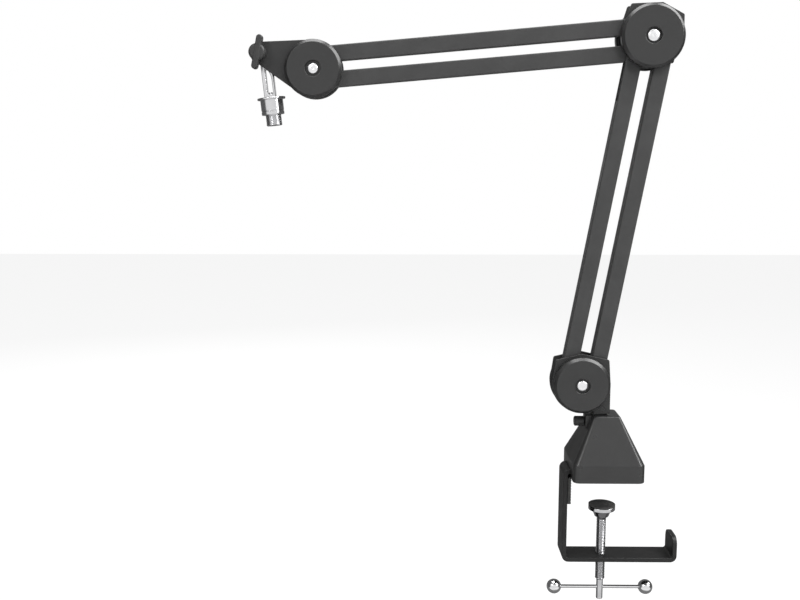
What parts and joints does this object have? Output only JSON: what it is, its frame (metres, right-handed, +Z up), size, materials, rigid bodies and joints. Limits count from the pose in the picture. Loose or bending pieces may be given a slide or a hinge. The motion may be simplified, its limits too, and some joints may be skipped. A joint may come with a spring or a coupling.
{
  "type": "desktop microphone stand",
  "caption": "Desk-clamped microphone boom arm with paired parallel bars, round hub covers, a swivel post and a tilting threaded yoke at its end.",
  "frame": {"origin": "on the desk top surface that the clamp grips, straight above the clamp screw", "axes": "+Z up, +X away from the side the upper arm reaches to, along the clamp jaw towards its lip; +Y to the rear"},
  "size_m": [0.4393, 0.073, 0.6187],
  "materials": {
    "base_housing": "satin black moulding",
    "c_bracket": "satin black powder coat",
    "base_pad": "black rubber",
    "edge_pad": "black rubber",
    "housing_screw": "plain zinc-plated steel",
    "swivel_bush": "natural nylon",
    "lock_screw": "satin black moulding",
    "pressure_pad": "bright chrome plate",
    "pad_face": "black rubber",
    "clamp_screw": "bright chrome plate",
    "tommy_bar": "bright chrome plate",
    "tommy_ball_left": "bright chrome plate",
    "tommy_ball_right": "bright chrome plate",
    "swivel_post": "satin black powder coat",
    "lower_plate_front": "satin black powder coat",
    "lower_plate_rear": "satin black powder coat",
    "lower_disc_front": "satin black moulding",
    "lower_disc_rear": "satin black moulding",
    "lower_bolt_front": "bright chrome plate",
    "lower_bolt_rear": "bright chrome plate",
    "lower_pin_left": "plain zinc-plated steel",
    "lower_pin_right": "plain zinc-plated steel",
    "stem_rivet": "satin black powder coat",
    "lower_bar_left": "satin black powder coat",
    "lower_bar_left_bush": "natural nylon",
    "lower_spring": "plain zinc-plated steel",
    "lower_spring_anchor": "plain zinc-plated steel",
    "lower_bar_right": "satin black powder coat",
    "lower_bar_right_bush": "natural nylon",
    "elbow_plate_front": "satin black powder coat",
    "elbow_plate_rear": "satin black powder coat",
    "elbow_disc_front": "satin black moulding",
    "elbow_disc_rear": "satin black moulding",
    "elbow_bolt_front": "bright chrome plate",
    "elbow_bolt_rear": "bright chrome plate",
    "elbow_pin_low": "plain zinc-plated steel",
    "elbow_pin_high": "plain zinc-plated steel",
    "elbow_stub_left_front": "plain zinc-plated steel",
    "elbow_stub_left_rear": "plain zinc-plated steel",
    "elbow_stub_right_front": "plain zinc-plated steel",
    "elbow_stub_right_rear": "plain zinc-plated steel",
    "upper_bar_top": "satin black powder coat",
    "upper_spring": "plain zinc-plated steel",
    "upper_spring_anchor": "plain zinc-plated steel",
    "upper_bar_bottom": "satin black powder coat",
    "head_plate_front": "satin black powder coat",
    "head_plate_rear": "satin black powder coat",
    "head_disc_front": "satin black moulding",
    "head_disc_rear": "satin black moulding",
    "head_bolt_front": "bright chrome plate",
    "head_bolt_rear": "bright chrome plate",
    "head_pin_low": "plain zinc-plated steel",
    "head_pin_high": "plain zinc-plated steel",
    "wing_washer": "bright chrome plate",
    "wing_nut": "plain zinc-plated steel",
    "wing_screw": "satin black moulding",
    "yoke": "bright chrome plate",
    "thread_adapter": "bright chrome plate"
  },
  "bodies": {
    "base": {"base_housing": "base_housing", "c_bracket": "c_bracket", "base_pad": "base_pad", "edge_pad": "edge_pad", "housing_screw": "housing_screw", "swivel_bush": "swivel_bush"},
    "lock_screw": {"lock_screw": "lock_screw"},
    "clamp_pad": {"pressure_pad": "pressure_pad", "pad_face": "pad_face"},
    "clamp_screw": {"clamp_screw": "clamp_screw"},
    "tommy_bar": {"tommy_bar": "tommy_bar", "tommy_ball_left": "tommy_ball_left", "tommy_ball_right": "tommy_ball_right"},
    "swivel": {"swivel_post": "swivel_post", "lower_plate_front": "lower_plate_front", "lower_plate_rear": "lower_plate_rear", "lower_disc_front": "lower_disc_front", "lower_disc_rear": "lower_disc_rear", "lower_bolt_front": "lower_bolt_front", "lower_bolt_rear": "lower_bolt_rear", "lower_pin_left": "lower_pin_left", "lower_pin_right": "lower_pin_right", "stem_rivet": "stem_rivet"},
    "lower_bar_left": {"lower_bar_left": "lower_bar_left", "lower_bar_left_bush": "lower_bar_left_bush", "lower_spring": "lower_spring", "lower_spring_anchor": "lower_spring_anchor"},
    "lower_bar_right": {"lower_bar_right": "lower_bar_right", "lower_bar_right_bush": "lower_bar_right_bush"},
    "elbow": {"elbow_plate_front": "elbow_plate_front", "elbow_plate_rear": "elbow_plate_rear", "elbow_disc_front": "elbow_disc_front", "elbow_disc_rear": "elbow_disc_rear", "elbow_bolt_front": "elbow_bolt_front", "elbow_bolt_rear": "elbow_bolt_rear", "elbow_pin_low": "elbow_pin_low", "elbow_pin_high": "elbow_pin_high", "elbow_stub_left_front": "elbow_stub_left_front", "elbow_stub_left_rear": "elbow_stub_left_rear", "elbow_stub_right_front": "elbow_stub_right_front", "elbow_stub_right_rear": "elbow_stub_right_rear"},
    "upper_bar_top": {"upper_bar_top": "upper_bar_top", "upper_spring": "upper_spring", "upper_spring_anchor": "upper_spring_anchor"},
    "upper_bar_bottom": {"upper_bar_bottom": "upper_bar_bottom"},
    "head": {"head_plate_front": "head_plate_front", "head_plate_rear": "head_plate_rear", "head_disc_front": "head_disc_front", "head_disc_rear": "head_disc_rear", "head_bolt_front": "head_bolt_front", "head_bolt_rear": "head_bolt_rear", "head_pin_low": "head_pin_low", "head_pin_high": "head_pin_high", "wing_washer": "wing_washer", "wing_nut": "wing_nut"},
    "wing_screw": {"wing_screw": "wing_screw"},
    "yoke": {"yoke": "yoke", "thread_adapter": "thread_adapter"}
  },
  "joints": [
    {"name": "swivel", "type": "hinge", "parent": "base", "child": "swivel", "pos_m": [-0.0042, 0, 0.0661], "axis": [0, 0, 1], "continuous": true},
    {"name": "lock_screw_turn", "type": "hinge", "parent": "base", "child": "lock_screw", "pos_m": [-0.021, 0, 0.0575], "axis": [1, 0, 0], "range_deg": [-720, 720]},
    {"name": "screw_travel", "type": "slide", "parent": "base", "child": "clamp_pad", "axis": [0, 0, 1], "range_m": [-0.035, 0.021]},
    {"name": "screw_turn", "type": "hinge", "parent": "clamp_pad", "child": "clamp_screw", "pos_m": [0, 0, -0.1246], "axis": [0, 0, 1], "range_deg": [-7200, 4320]},
    {"name": "tommy_slide", "type": "slide", "parent": "clamp_screw", "child": "tommy_bar", "axis": [1, 0, 0], "range_m": [-0.035, 0.035]},
    {"name": "lower_arm_lean", "type": "hinge", "parent": "swivel", "child": "lower_bar_left", "pos_m": [-0.0412, 0, 0.099], "axis": [0, 1, 0], "range_deg": [-45, 27]},
    {"name": "lower_bar_right_turn", "type": "hinge", "parent": "swivel", "child": "lower_bar_right", "pos_m": [-0.0124, 0, 0.099], "axis": [0, 1, 0], "range_deg": [-45, 27]},
    {"name": "elbow_level", "type": "hinge", "parent": "lower_bar_left", "child": "elbow", "pos_m": [0.01954, 0, 0.43424], "axis": [0, 1, 0], "range_deg": [-27, 45]},
    {"name": "upper_arm_lift", "type": "hinge", "parent": "elbow", "child": "upper_bar_top", "pos_m": [0.03394, 0, 0.45974], "axis": [0, 1, 0], "range_deg": [-39, 50]},
    {"name": "upper_bar_bottom_turn", "type": "hinge", "parent": "elbow", "child": "upper_bar_bottom", "pos_m": [0.03394, 0, 0.43424], "axis": [0, 1, 0], "range_deg": [-39, 50]},
    {"name": "head_level", "type": "hinge", "parent": "upper_bar_top", "child": "head", "pos_m": [-0.29957, 0, 0.43162], "axis": [0, 1, 0], "range_deg": [-50, 39]},
    {"name": "wing_screw_turn", "type": "hinge", "parent": "head", "child": "wing_screw", "pos_m": [-0.35407, 0, 0.43317], "axis": [0, 1, 0], "range_deg": [-720, 720]},
    {"name": "yoke_tilt", "type": "hinge", "parent": "head", "child": "yoke", "pos_m": [-0.35407, 0, 0.43317], "axis": [0, 1, 0], "range_deg": [-13.5, 120]}
  ],
  "couplings": [
    {"joint": "screw_travel", "follows": "screw_turn", "m_per_rad": 0.00027852},
    {"joint": "lower_bar_right_turn", "follows": "lower_arm_lean", "ratio": 1},
    {"joint": "elbow_level", "follows": "lower_arm_lean", "ratio": -1},
    {"joint": "upper_bar_bottom_turn", "follows": "upper_arm_lift", "ratio": 1},
    {"joint": "head_level", "follows": "upper_arm_lift", "ratio": -1}
  ]
}
